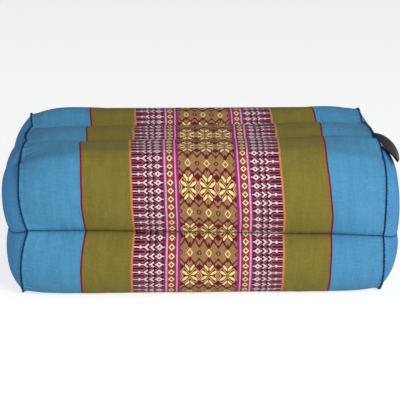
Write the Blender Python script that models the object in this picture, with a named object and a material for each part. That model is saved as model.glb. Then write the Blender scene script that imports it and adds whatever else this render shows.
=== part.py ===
"""A woven block cushion for meditation: a stuffed wrap of cloth in two layers of three
channels, closed by a panel at each end, with a folded ribbon tab in one end seam.

Metres, +Z up. The origin is the middle of the flat underside that the cushion rests on,
+X runs along the channels towards the tab's end, and the front face looks to -Y.

The wrap and the panels are first laid out as a cut cloth box. Its own coordinates are
x along the channels, p along the cloth across the top, and q along the cloth up a side,
so each plane that cuts the box is one line across the cloth. The box is then stuffed:
every point moves to its place on the rounded, drawn-in form.
"""

from math import ceil, cos, pi, radians, sin

import bmesh
import bpy
from mathutils import Vector

# The stuffed size, before the seams draw it in, and how much the back is shortened.
RIM_LENGTH = 0.3205
DEPTH = 0.180
HEIGHT = 0.1435
CORNER_RADIUS = 0.033
FLOOR_SINK = 0.0015
BACK_TAPER = 0.014

# How the rim that closes each end draws the block in, and its raised lip.
RIM_REACH = 0.050
RIM_CURVE = 2.2
RIM_DRAW_TOP = 0.0065
RIM_DRAW_SIDE = 0.0080
RIM_DRAW_UNDER = 0.0030
CORNER_SHRINK_FRONT = 0.22
CORNER_SHRINK_BACK = 0.06
CORNER_CURVE = 3.0
LIP_WIDTH = 0.0030
LIP_HEIGHT = 0.0022

# Each channel seam: the face it crosses, its place along the cloth from the middle of
# that face at each end, how deep it is sewn, how far its pull reaches, and how much
# shorter it gathers the cloth towards each rim.
SEAM_COLUMNS = ("face", "left", "right", "depth", "reach", "pull_left", "pull_right")
SEAM_ROWS = (
    ("top", -0.030, -0.030, 0.0130, 0.030, 0.0035, 0.0020),
    ("top", 0.030, 0.030, 0.0130, 0.030, 0.0055, 0.0010),
    ("front", -0.0080, -0.0140, 0.0130, 0.036, 0.0070, 0.0010),
    ("back", -0.0110, -0.0110, 0.0130, 0.036, 0.0040, 0.0030),
    ("under", -0.030, -0.030, 0.0110, 0.022, 0.0030, 0.0030),
    ("under", 0.030, 0.030, 0.0110, 0.022, 0.0030, 0.0030),
)
SEAMS = [dict(zip(SEAM_COLUMNS, row)) for row in SEAM_ROWS]
TOP_SEAMS = [seam for seam in SEAMS if seam["face"] == "top"]
FRONT_SEAM, BACK_SEAM = SEAMS[2], SEAMS[3]
SEAM_CURVE = 2.6
PULL_CURVE = 1.8
SEAM_EASE = 0.45

# How far the stuffing lifts each top channel, or flattens it, at each end.
CROWN_COLUMNS = ("middle", "half_width", "left", "right")
CROWN_ROWS = (
    (-0.0640, 0.0189, -0.0050, -0.0050),
    (-0.0560, 0.0269, -0.0020, 0.0025),
    (0.0000, 0.0300, -0.0035, 0.0000),
    (0.0600, 0.0229, 0.0025, 0.0025),
)
CROWNS = [dict(zip(CROWN_COLUMNS, row)) for row in CROWN_ROWS]
CROWN_CURVE = 3.0
CROWN_EDGE = 1.5

# The end panels: how far they stand out, how squarely, their own shallow seams, how much
# of the channel seams' pull on the rim they make up for, and the crown at the lip's foot.
PANEL_CROWN = 0.0195
PANEL_CURVE_ALONG = 5.5
PANEL_CURVE_UP = 3.2
PANEL_UPRIGHT_DEPTH = 0.0060
PANEL_LEVEL_DEPTH = 0.0030
PANEL_SEAM_REACH = 0.020
PANEL_SEAM_CURVE = 2.4
PANEL_RECOVERY = 0.6
FOOT_CROWN = 0.0027

# The folded ribbon tab: where each edge leaves the right-hand rim, how far it leans
# forward by its free end, and how many degrees it points up at both ends.
TAB_COLUMNS = ("root", "length", "lean", "rise_at_root", "rise_at_end")
TAB_ROWS = (
    (-0.020, 0.0345, -0.012, 3, -100),
    (-0.060, 0.0210, -0.018, -20, -50),
)
TAB_EDGES = [dict(zip(TAB_COLUMNS, row)) for row in TAB_ROWS]
TAB_THICKNESS = 0.0012
TAB_GAP = 0.0031
TAB_STEPS = 10
TAB_PLEATS = 4

# How finely the cloth is divided along, across and up, and close to a seam or a rim.
LINE_STEP_X = 0.0165
LINE_STEP_P = 0.0090
LINE_STEP_Q = 0.0090
SEAM_STEPS = (0.0020, 0.0055, 0.0115)
RIM_STEPS = (LIP_WIDTH, 0.008, 0.017)

QUARTER_CORNER = CORNER_RADIUS * pi / 4
HALF_LENGTH = RIM_LENGTH / 2
HALF_TOP = DEPTH / 2 - CORNER_RADIUS + QUARTER_CORNER
HALF_SIDE = HEIGHT / 2 - CORNER_RADIUS + QUARTER_CORNER
MIDDLE = HEIGHT / 2
SIDE_LINE = (FRONT_SEAM["left"] + FRONT_SEAM["right"]) / 2
TOUCH = 1e-6

SKY = (0.105, 0.330, 0.520)
BLACK = (0.020, 0.020, 0.022)


def clear_scene():
    for thing in list(bpy.data.objects):
        bpy.data.objects.remove(thing)


def make_material(name, colour, roughness):
    material = bpy.data.materials.new(name)
    material.use_nodes = True
    shader = material.node_tree.nodes["Principled BSDF"]
    shader.inputs["Base Color"].default_value = (*colour, 1)
    shader.inputs["Roughness"].default_value = roughness
    shader.inputs["Metallic"].default_value = 0
    return material


def make_object(name, mesh_data, material):
    mesh = bpy.data.meshes.new(name)
    mesh_data.to_mesh(mesh)
    mesh_data.free()
    mesh.materials.append(material)
    mesh.shade_smooth()
    thing = bpy.data.objects.new(name, mesh)
    bpy.context.scene.collection.objects.link(thing)
    return thing


def fade(distance, reach, power=2.0):
    """1 at no distance, falling to 0 at the reach."""
    return max(0.0, 1 - abs(distance) / reach) ** power


def blend(low, high, share):
    return low + (high - low) * share


def along_share(x):
    """0 at the left rim and 1 at the right rim."""
    return min(1, max(0, (x / HALF_LENGTH + 1) / 2))


def seam_place(seam, x):
    return blend(seam["left"], seam["right"], along_share(x))


def face_of(p, q):
    """Which side of the wrap a point lies on; a corner counts as top or under."""
    if abs(q) > HALF_SIDE - TOUCH:
        return "top" if q > 0 else "under"
    return "front" if p < 0 else "back"


def section_point(p, q):
    """(y and z, outward normal) of the rounded section at a point of the box's outline."""
    level = face_of(p, q) in ("top", "under")
    run_at, half, other_half = (p, DEPTH / 2, HEIGHT / 2) if level else (q, HEIGHT / 2, DEPTH / 2)
    turn = max(0, abs(run_at) - (half - CORNER_RADIUS)) / CORNER_RADIUS
    side = 1 if run_at >= 0 else -1
    out = 1 if (q if level else p) > 0 else -1
    run = side * (min(abs(run_at), half - CORNER_RADIUS) + CORNER_RADIUS * sin(turn))
    rise = out * (other_half - CORNER_RADIUS + CORNER_RADIUS * cos(turn))
    place, normal = Vector((run, rise)), Vector((side * sin(turn), out * cos(turn)))
    return (place, normal) if level else (place.yx, normal.yx)


def seam_draw(x, p, q):
    """(how far the nearest seam draws a wrap point in, how much it shortens the cloth)."""
    face = face_of(p, q)
    across = p if face in ("top", "under") else q
    eased = 1 - SEAM_EASE * fade(HALF_LENGTH - abs(x), RIM_REACH)
    depth, pull = 0.0, 0.0
    for seam in SEAMS:
        if seam["face"] != face:
            continue
        gap = across - seam_place(seam, x)
        depth = max(depth, seam["depth"] * eased * fade(gap, seam["reach"], SEAM_CURVE))
        full = seam["pull_left"] if x < 0 else seam["pull_right"]
        pull = max(pull, full * fade(gap, seam["reach"], PULL_CURVE))
    return depth, pull


def crown_lift(x, p, q):
    if face_of(p, q) != "top":
        return 0.0
    lift = 0.0
    for crown in CROWNS:
        off = min(1, abs(p - crown["middle"]) / crown["half_width"])
        full = blend(crown["left"], crown["right"], along_share(x))
        lift += full * (1 - off**CROWN_CURVE) ** CROWN_EDGE
    return lift


def rim_draw(normal):
    """How far the rim draws a wrap point in: less on the underside than elsewhere."""
    level = RIM_DRAW_TOP if normal.y > 0 else RIM_DRAW_UNDER
    return blend(RIM_DRAW_SIDE, level, normal.y**2)


def corner_shrink(place):
    """What share of its distance from the middle a point near a top corner loses."""
    nearness = abs(place.x) / (DEPTH / 2) * max(0, place.y) / (HEIGHT / 2)
    full = CORNER_SHRINK_FRONT if place.x < 0 else CORNER_SHRINK_BACK
    return full * nearness**CORNER_CURVE


def wrap_point(x, p, q):
    """A point of the wrap in the stuffed cushion, the rim's lip included."""
    place, normal = section_point(p, q)
    depth, pull = seam_draw(x, p, q)
    from_rim = HALF_LENGTH - abs(x)
    near_rim = fade(from_rim, RIM_REACH, RIM_CURVE)
    lip = LIP_HEIGHT * fade(from_rim, LIP_WIDTH)
    shrunk = place * (1 - corner_shrink(place) * near_rim)
    stuffed = shrunk - normal * (depth + rim_draw(normal) * near_rim - crown_lift(x, p, q) - lip)
    taper = BACK_TAPER * (place.x / DEPTH + 0.5)
    along = x * (1 - taper - pull / HALF_LENGTH) + (lip if x > 0 else -lip)
    return Vector((along, stuffed.x, stuffed.y + MIDDLE - FLOOR_SINK))


def panel_point(end, p, q):
    """A point inside an end panel: the rim's outline filled in evenly, then crowned."""
    x = end * HALF_LENGTH
    kp, kq = (p / HALF_TOP + 1) / 2, (q / HALF_SIDE + 1) / 2
    front, back = wrap_point(x, -HALF_TOP, q), wrap_point(x, HALF_TOP, q)
    under, top = wrap_point(x, p, -HALF_SIDE), wrap_point(x, p, HALF_SIDE)
    low = wrap_point(x, -HALF_TOP, -HALF_SIDE).lerp(wrap_point(x, HALF_TOP, -HALF_SIDE), kp)
    high = wrap_point(x, -HALF_TOP, HALF_SIDE).lerp(wrap_point(x, HALF_TOP, HALF_SIDE), kp)
    place = front.lerp(back, kp) + under.lerp(top, kq) - low.lerp(high, kq)
    crown = PANEL_CROWN * (1 - abs(p / HALF_TOP) ** PANEL_CURVE_ALONG)
    crown *= 1 - abs(q / HALF_SIDE) ** PANEL_CURVE_UP
    foot = LIP_HEIGHT * min(1, crown / FOOT_CROWN)
    pulled_in = seam_draw(x, -HALF_TOP, q)[1] * crown / PANEL_CROWN
    seam = panel_seam(x, p, q, crown)
    place.x += end * (crown + PANEL_RECOVERY * pulled_in - foot - seam)
    return place


def panel_seam(x, p, q, crown):
    """How deep the panel's own seams, which meet the channel seams, draw it in."""
    upright = min(abs(p - seam["left"]) for seam in TOP_SEAMS)
    upright = PANEL_UPRIGHT_DEPTH * fade(upright, PANEL_SEAM_REACH, PANEL_SEAM_CURVE)
    level = q - seam_place(FRONT_SEAM, x)
    level = PANEL_LEVEL_DEPTH * fade(level, PANEL_SEAM_REACH, PANEL_SEAM_CURVE)
    return min(crown, max(upright, level))


def spaced(marks, widest):
    """The marks, with even lines added wherever two stand further apart than widest."""
    marks, lines = sorted(set(marks)), []
    for low, high in zip(marks, marks[1:]):
        steps = ceil((high - low) / widest - TOUCH)
        lines += [blend(low, high, i / steps) for i in range(steps)]
    return lines[1:]


def box_lines():
    """The lines drawn across the cloth on x, p and q: close at seams and rims."""
    found = []
    for half, places, widest in (
        (HALF_LENGTH, (), LINE_STEP_X),
        (HALF_TOP, [seam["left"] for seam in TOP_SEAMS], LINE_STEP_P),
        (HALF_SIDE, (SIDE_LINE,), LINE_STEP_Q),
    ):
        marks = [side * (half - step) for step in (0, *RIM_STEPS) for side in (-1, 1)]
        for place in places:
            marks += [place] + [place + side * step for step in SEAM_STEPS for side in (-1, 1)]
        found.append(spaced(marks, widest))
    return found


def straighten(box):
    """Turns the level cut lines so that they follow the front and the back seam."""
    for point in box.verts:
        x, p, q = point.co
        if abs(abs(q) - HALF_SIDE) > TOUCH:
            wanted = blend(seam_place(FRONT_SEAM, x), seam_place(BACK_SEAM, x), (p / HALF_TOP + 1) / 2)
            point.co.z = q + (wanted - SIDE_LINE) * fade(q - SIDE_LINE, HALF_SIDE - abs(SIDE_LINE), 1.0)


def stuff(box):
    """Moves every point of the cloth box to its place on the stuffed cushion."""
    for point in box.verts:
        x, p, q = point.co
        on_wrap = max(abs(p) - HALF_TOP, abs(q) - HALF_SIDE) > -TOUCH
        place = wrap_point(x, p, q) if on_wrap else panel_point(1 if x > 0 else -1, p, q)
        place.z = max(0.0, place.z)
        point.co = place


def build_cushion():
    box = bmesh.new()
    bmesh.ops.create_cube(box, size=2)
    bmesh.ops.scale(box, vec=(HALF_LENGTH, HALF_TOP, HALF_SIDE), verts=box.verts)
    for axis, lines in enumerate(box_lines()):
        normal = Vector((0, 0, 0))
        normal[axis] = 1
        for line in lines:
            parts = box.verts[:] + box.edges[:] + box.faces[:]
            bmesh.ops.bisect_plane(box, geom=parts, plane_co=normal * line, plane_no=normal)
    straighten(box)
    stuff(box)
    bmesh.ops.recalc_face_normals(box, faces=box.faces)
    return make_object("cushion", box, make_material("sky_cotton", SKY, 0.85))


def tab_edge(edge):
    """The points of one edge of the ribbon, from its root to its free end."""
    root = wrap_point(HALF_LENGTH, edge["root"], HALF_SIDE)
    place = root + Vector((TAB_GAP, 0, 0))
    step, forward = edge["length"] / TAB_STEPS, edge["lean"] / TAB_STEPS
    level = (step**2 - forward**2) ** 0.5
    points = [place]
    for i in range(TAB_STEPS):
        rise = radians(blend(edge["rise_at_root"], edge["rise_at_end"], (i + 0.5) / TAB_STEPS))
        place = place + Vector((level * cos(rise), forward, level * sin(rise)))
        points.append(place)
    return points


def build_tab():
    """A ribbon that leaves the seam level and curls down over the end panel."""
    tab = bmesh.new()
    back, front = (tab_edge(edge) for edge in TAB_EDGES)
    shares = [i / TAB_PLEATS for i in range(TAB_PLEATS + 1)]
    rows = [[tab.verts.new(b.lerp(f, share)) for share in shares] for b, f in zip(back, front)]
    for near, far in zip(rows, rows[1:]):
        for i in range(TAB_PLEATS):
            tab.faces.new((near[i], near[i + 1], far[i + 1], far[i]))
    thing = make_object("tab", tab, make_material("black_ribbon", BLACK, 0.5))
    thickness = thing.modifiers.new("thickness", "SOLIDIFY")
    thickness.thickness = TAB_THICKNESS
    thickness.offset = 0
    return thing


clear_scene()
build_cushion()
build_tab()
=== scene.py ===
# %% [markdown]
# # A woven block cushion, dressed as cloth
#
# The solid part already has the cushion's overall form: three channels across the top,
# two layers, and a padded panel at each end. A solid looks like clay, though. Here the
# same cushion is cut from cloth, stuffed, sewn and patterned, so that it reads as a real
# block of kapok in a cotton cover. Each cell that makes something prints what it made.

import math

import bmesh
import bpy
import numpy as np
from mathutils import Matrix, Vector
from mathutils.bvhtree import BVHTree


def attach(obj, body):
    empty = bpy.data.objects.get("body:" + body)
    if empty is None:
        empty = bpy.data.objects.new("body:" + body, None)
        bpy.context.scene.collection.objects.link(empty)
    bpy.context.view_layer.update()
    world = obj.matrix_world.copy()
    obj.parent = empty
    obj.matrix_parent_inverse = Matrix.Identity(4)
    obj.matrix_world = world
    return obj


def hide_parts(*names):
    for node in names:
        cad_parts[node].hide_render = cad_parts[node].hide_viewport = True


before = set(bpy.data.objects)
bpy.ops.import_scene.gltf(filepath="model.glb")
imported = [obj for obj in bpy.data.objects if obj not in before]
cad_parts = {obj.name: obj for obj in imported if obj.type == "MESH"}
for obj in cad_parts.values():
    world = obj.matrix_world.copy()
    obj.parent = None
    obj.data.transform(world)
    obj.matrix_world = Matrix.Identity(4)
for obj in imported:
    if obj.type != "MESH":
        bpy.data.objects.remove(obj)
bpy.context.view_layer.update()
chance = np.random.default_rng(11)

# %% [markdown]
# ## The stuffed form
#
# A cushion's shape follows from where it is sewn. The block starts as a rounded box of
# cloth. Each channel seam pulls the cloth in, gathers it a little and leaves a narrow
# crease on its stitches. The rim of each end panel draws the block narrower and stands
# up as a small lip. The stuffing crowns everything between, more in some places than in
# others, as in any cushion filled by hand. It could be sculpted, but a table with a row
# for each seam is easier to put right: one number moves one thing.

# %% The block's sizes and seams, in metres
def table(columns, *rows):
    """Rows whose values have the columns' names."""
    return [dict(zip(columns.split(), row)) for row in rows]


RIM_LENGTH, DEPTH, HEIGHT, CORNER_RADIUS = 0.3205, 0.180, 0.1435, 0.033
FLOOR_SINK = 0.0015
# How much longer each half is than its cloth, as a share: at the front, at the back.
LONGER_LEFT, LONGER_RIGHT = (0.005, -0.005), (0.016, -0.045)
# How far along the block a rim pulls, and how far in it draws each side of the wrap.
RIM_REACH, RIM_CURVE = 0.050, 3.0
RIM_DRAW = {"top": 0.0065, "side": 0.0080, "under": 0.0030}
# The upper corners shrink by this share at the rims; the back has a left and a right one.
CORNER_SHRINK_FRONT, CORNER_SHRINK_BACK, CORNER_CURVE = 0.22, (0.06, 0.0), 3.0
RIGHT_BACK_FULLER = 0.0025
LIP_WIDTH, LIP_HEIGHT = 0.0030, 0.0014
SEAMS = table(
    "face left right depth reach pull_left pull_right",
    ("top", -0.030, -0.030, 0.0130, 0.030, 0.0035, 0.0020),
    ("top", 0.030, 0.030, 0.0130, 0.030, 0.0030, 0.0005),
    ("front", -0.0068, -0.0140, 0.0130, 0.036, 0.0070, 0.0010),
    ("back", -0.0110, -0.0110, 0.0130, 0.036, 0.0040, 0.0030),
    ("under", -0.030, -0.030, 0.0110, 0.022, 0.0030, 0.0030),
    ("under", 0.030, 0.030, 0.0110, 0.022, 0.0030, 0.0030),
)
TOP_SEAMS, FRONT_SEAM, BACK_SEAM = SEAMS[:2], SEAMS[2], SEAMS[3]
SEAM_CURVE, PULL_CURVE, SEAM_EASE = 2.6, 1.8, 0.90
CREASE_DEPTH, CREASE_REACH, CREASE_CURVE = 0.0026, 0.0030, 1.4
CROWNS = table(
    "middle half_width left right",
    (-0.0640, 0.0189, -0.0050, -0.0050),
    (-0.0560, 0.0269, -0.0020, 0.0025),
    (0.0000, 0.0300, -0.0035, 0.0000),
    (0.0600, 0.0229, 0.0052, 0.0050),
)
CROWN_CURVE, CROWN_EDGE = 3.0, 1.5
PANEL_CROWN, PANEL_CURVE_ALONG, PANEL_CURVE_UP = 0.0195, 5.5, 3.2
PANEL_UPRIGHT_DEPTH, PANEL_LEVEL_DEPTH = 0.0060, 0.0018
PANEL_SEAM_REACH, PANEL_SEAM_CURVE = 0.020, 2.4
PLUMPS = table(
    "end middle_up half_height extra",
    (-1, 0.032, 0.038, 0.0024),
    (1, -0.022, 0.050, 0.0030),
)
PANEL_RECOVERY, FOOT_CROWN = 0.6, 0.0027

QUARTER_CORNER = CORNER_RADIUS * math.pi / 4
HALF_LENGTH = RIM_LENGTH / 2
HALF_TOP = DEPTH / 2 - CORNER_RADIUS + QUARTER_CORNER
HALF_SIDE = HEIGHT / 2 - CORNER_RADIUS + QUARTER_CORNER
MIDDLE = HEIGHT / 2
SIDE_LINE = (FRONT_SEAM["left"] + FRONT_SEAM["right"]) / 2
GIRTH = 4 * (HALF_TOP + HALF_SIDE)
TOUCH = 1e-6
print(f"cloth: {RIM_LENGTH * 1000:.0f} mm along by {GIRTH * 1000:.0f} mm round")


# %% How the cloth lies on the rounded box
def fade(distance, reach, power=2.0):
    """1 at no distance, falling to 0 at the reach."""
    return np.clip(1 - np.abs(distance) / reach, 0, None) ** power


def blend(low, high, share):
    return low + (high - low) * share


def seam_place(seam, x):
    return blend(seam["left"], seam["right"], np.clip((x / HALF_LENGTH + 1) / 2, 0, 1))


def seam_gap(seam, x, p, q):
    """How far points lie from a seam, across the cloth."""
    return (p if seam["face"] in ("top", "under") else q) - seam_place(seam, x)


def faces_of(p, q):
    """Which points lie on which side of the wrap; a corner counts as top or under."""
    level = np.abs(q) > HALF_SIDE - TOUCH
    return {
        "top": level & (q > 0),
        "under": level & (q < 0),
        "front": ~level & (p < 0),
        "back": ~level & (p > 0),
    }


def section(p, q):
    """The rounded section's (y, z) and outward normal for points of the box's outline."""
    level = np.abs(q) > HALF_SIDE - TOUCH
    run_at, half = np.where(level, p, q), np.where(level, DEPTH / 2, HEIGHT / 2)
    other_half = np.where(level, HEIGHT / 2, DEPTH / 2)
    turn = np.clip(np.abs(run_at) - (half - CORNER_RADIUS), 0, None) / CORNER_RADIUS
    side = np.where(run_at >= 0, 1, -1)
    out = np.where(np.where(level, q, p) > 0, 1, -1)
    run = np.minimum(np.abs(run_at), half - CORNER_RADIUS) + CORNER_RADIUS * np.sin(turn)
    rise = other_half - CORNER_RADIUS + CORNER_RADIUS * np.cos(turn)
    place = np.stack((side * run, out * rise), -1)
    normal = np.stack((side * np.sin(turn), out * np.cos(turn)), -1)
    swap = level[:, None]
    return np.where(swap, place, place[:, ::-1]), np.where(swap, normal, normal[:, ::-1])


# %% How the seams, the crowns and the rims shape it
def seam_draw(x, p, q):
    """(how far the nearest seam draws the wrap in, how much it shortens the cloth)."""
    faces = faces_of(p, q)
    eased = 1 - SEAM_EASE * fade(HALF_LENGTH - np.abs(x), RIM_REACH)
    depth, pull = np.zeros_like(x), np.zeros_like(x)
    for seam in SEAMS:
        on, gap = faces[seam["face"]], seam_gap(seam, x, p, q)
        full = np.where(x < 0, seam["pull_left"], seam["pull_right"])
        drawn = seam["depth"] * eased * fade(gap, seam["reach"], SEAM_CURVE)
        drawn = drawn + CREASE_DEPTH * fade(gap, CREASE_REACH, CREASE_CURVE)
        depth = np.maximum(depth, on * drawn)
        pull = np.maximum(pull, on * full * fade(gap, seam["reach"], PULL_CURVE))
    return depth, pull


def crown_lift(x, p, q):
    lift = np.zeros_like(x)
    for crown in CROWNS:
        off = np.clip(np.abs(p - crown["middle"]) / crown["half_width"], 0, 1)
        lift += seam_place(crown, x) * (1 - off**CROWN_CURVE) ** CROWN_EDGE
    return lift * faces_of(p, q)["top"]


def wrap_point(x, p, q):
    """Where points of the wrap lie on the stuffed cushion, the rim's lip included."""
    place, normal = section(p, q)
    depth, pull = seam_draw(x, p, q)
    from_rim = HALF_LENGTH - np.abs(x)
    near_rim = fade(from_rim, RIM_REACH, RIM_CURVE)
    lip = LIP_HEIGHT * fade(from_rim, LIP_WIDTH)
    nearness = np.abs(place[:, 0]) / (DEPTH / 2) * np.clip(place[:, 1], 0, None) / (HEIGHT / 2)
    back = np.where(x < 0, *CORNER_SHRINK_BACK)
    full = np.where(place[:, 0] < 0, CORNER_SHRINK_FRONT, back)
    shrunk = place * (1 - full * nearness**CORNER_CURVE * near_rim)[:, None]
    far_back = place[:, 0] / DEPTH + 0.5
    top = RIM_DRAW["top"] - RIGHT_BACK_FULLER * (x > 0) * far_back
    level = np.where(normal[:, 1] > 0, top, RIM_DRAW["under"])
    drawn = depth + blend(RIM_DRAW["side"], level, normal[:, 1] ** 2) * near_rim
    stuffed = shrunk - normal * (drawn - crown_lift(x, p, q) - lip)[:, None]
    longer = np.where(x < 0, blend(*LONGER_LEFT, far_back), blend(*LONGER_RIGHT, far_back))
    along = x * (1 + longer - pull / HALF_LENGTH) + np.where(x > 0, lip, -lip)
    return np.stack((along, stuffed[:, 0], stuffed[:, 1] + MIDDLE - FLOOR_SINK), -1)


def panel_point(end, p, q):
    """Where points of an end panel lie: its rim's outline filled in evenly, then crowned."""
    x = np.full_like(p, end * HALF_LENGTH)
    edge_p, edge_q = np.full_like(p, HALF_TOP), np.full_like(q, HALF_SIDE)
    across, up = ((p / HALF_TOP + 1) / 2)[:, None], ((q / HALF_SIDE + 1) / 2)[:, None]
    level, low, high = (
        blend(wrap_point(x, -edge_p, at), wrap_point(x, edge_p, at), across) for at in (q, -edge_q, edge_q)
    )
    upright = blend(wrap_point(x, p, -edge_q), wrap_point(x, p, edge_q), up)
    place = level + upright - blend(low, high, up)
    crown = PANEL_CROWN * (1 - np.abs(p / HALF_TOP) ** PANEL_CURVE_ALONG)
    for plump in PLUMPS:
        if plump["end"] == end:
            near = np.sqrt(fade(q - plump["middle_up"], plump["half_height"]))
            crown += plump["extra"] * crown / PANEL_CROWN * near
    crown = crown * (1 - np.abs(q / HALF_SIDE) ** PANEL_CURVE_UP)
    foot = LIP_HEIGHT * np.minimum(1, crown / FOOT_CROWN)
    pulled_in = seam_draw(x, -edge_p, q)[1] * crown / PANEL_CROWN
    gap = np.minimum(*(np.abs(p - seam["left"]) for seam in TOP_SEAMS))
    sewn = PANEL_UPRIGHT_DEPTH * fade(gap, PANEL_SEAM_REACH, PANEL_SEAM_CURVE)
    gap = q - seam_place(FRONT_SEAM, x)
    sewn = np.maximum(sewn, PANEL_LEVEL_DEPTH * fade(gap, PANEL_SEAM_REACH, PANEL_SEAM_CURVE))
    place[:, 0] += end * (crown + PANEL_RECOVERY * pulled_in - foot - np.minimum(crown, sewn))
    return place


probe = wrap_point(np.zeros(1), np.zeros(1), np.full(1, HALF_SIDE))[0]
print(f"the middle of the top stands {probe[2] * 1000:.0f} mm high")

# %% [markdown]
# ## Cutting the cloth
#
# A maker cuts one long wrap and two end panels. So does this cell: each piece starts as
# a flat grid. The threads of the grid are drawn closer together beside seams and rims,
# where the cloth bends most, and the level threads follow the sloping front seam. The
# cloth's own coordinates are kept as a UV map in metres, because a woven pattern belongs
# to the cloth and has to stay with it however the cloth is bent.

# %% Where the grid's threads run
THREAD_STEP = 0.0042
SEAM_STEPS = (0.0012, 0.0030, 0.0058, 0.0092)
RIM_STEPS = (0.0015, LIP_WIDTH, 0.0052, 0.0085)
HOLD_REACH = 0.0060
ROLL_REACH, ROLL_ROUNDS = 0.0150, 14
SEW_WITHIN = 1e-5


def threads(half, places):
    """Thread places from -half to half: close at each rim and place, even elsewhere."""
    marks = {side * (half - step) for step in (0, *RIM_STEPS) for side in (-1, 1)}
    marks |= {place + side * step for place in places for step in (0, *SEAM_STEPS) for side in (-1, 1)}
    marks, found = sorted(marks), []
    for low, high in zip(marks, marks[1:]):
        steps = math.ceil((high - low) / THREAD_STEP - TOUCH)
        found += [blend(low, high, i / steps) for i in range(steps)]
    return np.array(found + [half])


X_THREADS = threads(HALF_LENGTH, ())
P_THREADS = threads(HALF_TOP, [seam["left"] for seam in TOP_SEAMS])
Q_THREADS = threads(HALF_SIDE, (SIDE_LINE,))
ring = [(-HALF_TOP, q) for q in Q_THREADS] + [(p, HALF_SIDE) for p in P_THREADS[1:]]
ring += [(HALF_TOP, q) for q in Q_THREADS[-2::-1]] + [(p, -HALF_SIDE) for p in P_THREADS[-2::-1]]
# The two ends of the wrap meet on the back's level seam.
cut = ring.index((HALF_TOP, min(Q_THREADS, key=lambda q: abs(q - SIDE_LINE))))
ROUND_P, ROUND_Q = np.array(ring[cut:-1] + ring[: cut + 1]).T
print(f"{len(X_THREADS)} threads along, {len(ROUND_P)} round, {len(P_THREADS)} across a panel")


# %% Cut the wrap and the panels, and sew them into one closed cover
def straighten(x, p, q):
    """Lets the level threads follow the front seam and the back seam."""
    wanted = blend(seam_place(FRONT_SEAM, x), seam_place(BACK_SEAM, x), (p / HALF_TOP + 1) / 2)
    moved = q + (wanted - SIDE_LINE) * fade(q - SIDE_LINE, HALF_SIDE - abs(SIDE_LINE), 1.0)
    return np.where(np.abs(q) > HALF_SIDE - TOUCH, q, moved)


def round_place(p, q):
    """How far round the wrap a point is: 0 in the middle of the front, positive upwards."""
    back_line = 2 * HALF_TOP + HALF_SIDE
    back = np.where(q > SIDE_LINE, 1, -1) * (back_line + HALF_SIDE) - q
    place = np.where(p < 0, q, back)
    level = np.abs(q) > HALF_SIDE - TOUCH
    return np.where(level, np.sign(q) * (HALF_SIDE + HALF_TOP + p), place)


def cut_grid(across, up):
    """A flat grid with a vertex for each pair of threads, and each vertex's two indices."""
    sheet = bmesh.new()
    bmesh.ops.create_grid(sheet, x_segments=len(across) - 1, y_segments=len(up) - 1, size=1)
    flat = np.array([v.co for v in sheet.verts])
    i = np.rint((flat[:, 0] + 1) / 2 * (len(across) - 1)).astype(int)
    j = np.rint((flat[:, 1] + 1) / 2 * (len(up) - 1)).astype(int)
    return sheet, i, j


def finish_sheet(sheet, name, places, cloth_uv, slot, hold):
    """Moves the sheet's vertices to their places and keeps each one's cloth coordinates."""
    layer = sheet.loops.layers.uv.new("cloth")
    held = sheet.verts.layers.float.new("hold")
    for v, place, weight in zip(sheet.verts, places, hold):
        v.co = place
        v[held] = weight
    for face in sheet.faces:
        face.material_index = slot
        for loop in face.loops:
            loop[layer].uv = cloth_uv[loop.vert.index]
    mesh = bpy.data.meshes.new(name)
    sheet.to_mesh(mesh)
    sheet.free()
    return mesh


def hold_near(*gaps):
    """1 on a seam, falling to nothing a little way off."""
    return np.max([fade(gap, HOLD_REACH) for gap in gaps], axis=0)


def cut_wrap():
    sheet, i, j = cut_grid(X_THREADS, ROUND_P)
    x, p, q = X_THREADS[i], ROUND_P[j], ROUND_Q[j]
    around = round_place(p, q)
    around[j == 0] = abs(around[j == 0])
    around[j == len(ROUND_P) - 1] = -abs(around[j == len(ROUND_P) - 1])
    sewn_q, faces = straighten(x, p, q), faces_of(p, q)
    gaps = [HALF_LENGTH - np.abs(x)]
    for seam in SEAMS:
        gaps.append(np.where(faces[seam["face"]], seam_gap(seam, x, p, sewn_q), 1))
    places = wrap_point(x, p, sewn_q)
    return finish_sheet(sheet, "wrap", places, np.stack((x, around), -1), 0, hold_near(*gaps))


def cut_panel(end):
    sheet, i, j = cut_grid(P_THREADS, Q_THREADS)
    p, q = P_THREADS[i], Q_THREADS[j]
    x = np.full_like(p, end * HALF_LENGTH)
    sewn_q = straighten(x, p, q)
    rim = (np.abs(p) > HALF_TOP - TOUCH) | (np.abs(q) > HALF_SIDE - TOUCH)
    places = np.where(rim[:, None], wrap_point(x, p, sewn_q), panel_point(end, p, sewn_q))
    gaps = [HALF_TOP - np.abs(p), HALF_SIDE - np.abs(q), sewn_q - seam_place(FRONT_SEAM, x)]
    gaps += [p - seam["left"] for seam in TOP_SEAMS]
    return finish_sheet(sheet, "panel", places, np.stack((p + 2 * end, q), -1), 1, hold_near(*gaps))


def roll_front_edge(cover):
    """Rounds the wrap's front top edge, from rim to rim, into one soft roll."""
    layer = cover.loops.layers.uv["cloth"]
    edge = []
    for v in cover.verts:
        x, around = v.link_loops[0][layer].uv
        if abs(x) < HALF_LENGTH - RIM_STEPS[0] - TOUCH and abs(around - HALF_SIDE) < ROLL_REACH:
            edge.append(v)
    for _ in range(ROLL_ROUNDS):
        bmesh.ops.smooth_vert(cover, verts=edge, factor=0.5, use_axis_y=True, use_axis_z=True)
    print(f"rolled {len(edge)} points of the front edge")


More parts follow.
